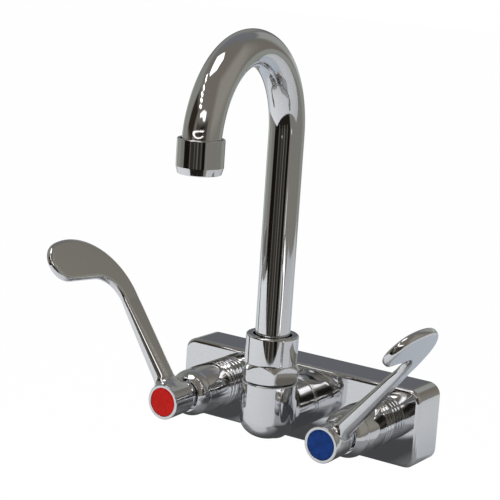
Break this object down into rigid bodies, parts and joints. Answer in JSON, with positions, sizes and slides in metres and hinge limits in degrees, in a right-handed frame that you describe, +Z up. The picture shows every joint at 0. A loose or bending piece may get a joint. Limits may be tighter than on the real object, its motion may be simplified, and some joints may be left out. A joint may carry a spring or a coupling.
{
  "type": "wall-mounted faucet",
  "caption": "Chrome wall faucet with a block body on four inch centres, swivelling gooseneck spout, aerator and quarter-turn wrist-blade handles with red and blue index buttons.",
  "frame": {"origin": "centre of the valve body's flat back face, level with the two valve axes", "axes": "+X to the right as seen by the user, +Y into the wall, +Z up; the handles and the spout stand out along -Y"},
  "size_m": [0.2247, 0.1846, 0.2304],
  "materials": {
    "chrome": "polished chrome plate on brass",
    "brass": "turned brass",
    "stainless": "stainless steel",
    "zinc_plate": "zinc plated steel",
    "seal": "moulded nitrile rubber",
    "slip_washer": "acetal",
    "insert_plastic": "moulded acetal",
    "ceramic": "lapped alumina",
    "hot_index": "gloss red plastic",
    "cold_index": "gloss blue plastic"
  },
  "bodies": {
    "faucet_body": {"valve_body": "chrome", "outlet_elbow": "chrome", "elbow_o_ring": "seal", "spout_nut": "chrome", "swivel_washer": "slip_washer", "hot_shank": "brass", "hot_shank_washer": "zinc_plate", "hot_locknut": "brass", "hot_bonnet": "chrome", "hot_cartridge_housing": "brass", "hot_housing_o_ring": "seal", "hot_seat_seal": "seal", "hot_fixed_disc": "ceramic", "cold_shank": "brass", "cold_shank_washer": "zinc_plate", "cold_locknut": "brass", "cold_bonnet": "chrome", "cold_cartridge_housing": "brass", "cold_housing_o_ring": "seal", "cold_seat_seal": "seal", "cold_fixed_disc": "ceramic"},
    "spout": {"spout_tube": "chrome", "spout_ferrule": "brass", "spout_o_rings": "seal", "aerator_housing": "chrome", "aerator_screen": "stainless", "aerator_insert": "insert_plastic", "aerator_washer": "seal"},
    "hot_handle_set": {"hot_handle": "chrome", "hot_handle_screw": "stainless", "hot_index_cap": "hot_index", "hot_stem": "brass", "hot_stem_o_ring": "seal", "hot_stem_clip": "stainless", "hot_moving_disc": "ceramic"},
    "cold_handle_set": {"cold_handle": "chrome", "cold_handle_screw": "stainless", "cold_index_cap": "cold_index", "cold_stem": "brass", "cold_stem_o_ring": "seal", "cold_stem_clip": "stainless", "cold_moving_disc": "ceramic"}
  },
  "joints": [
    {"name": "spout_swivel", "type": "hinge", "parent": "faucet_body", "child": "spout", "pos_m": [0, -0.0518, 0.03], "axis": [0, 0, 1], "range_deg": [-117, 102]},
    {"name": "hot_handle_turn", "type": "hinge", "parent": "faucet_body", "child": "hot_handle_set", "pos_m": [-0.0508, -0.07, 0], "axis": [0, -1, 0], "range_deg": [0, 90]},
    {"name": "cold_handle_turn", "type": "hinge", "parent": "faucet_body", "child": "cold_handle_set", "pos_m": [0.0508, -0.07, 0], "axis": [0, 1, 0], "range_deg": [0, 90]}
  ]
}
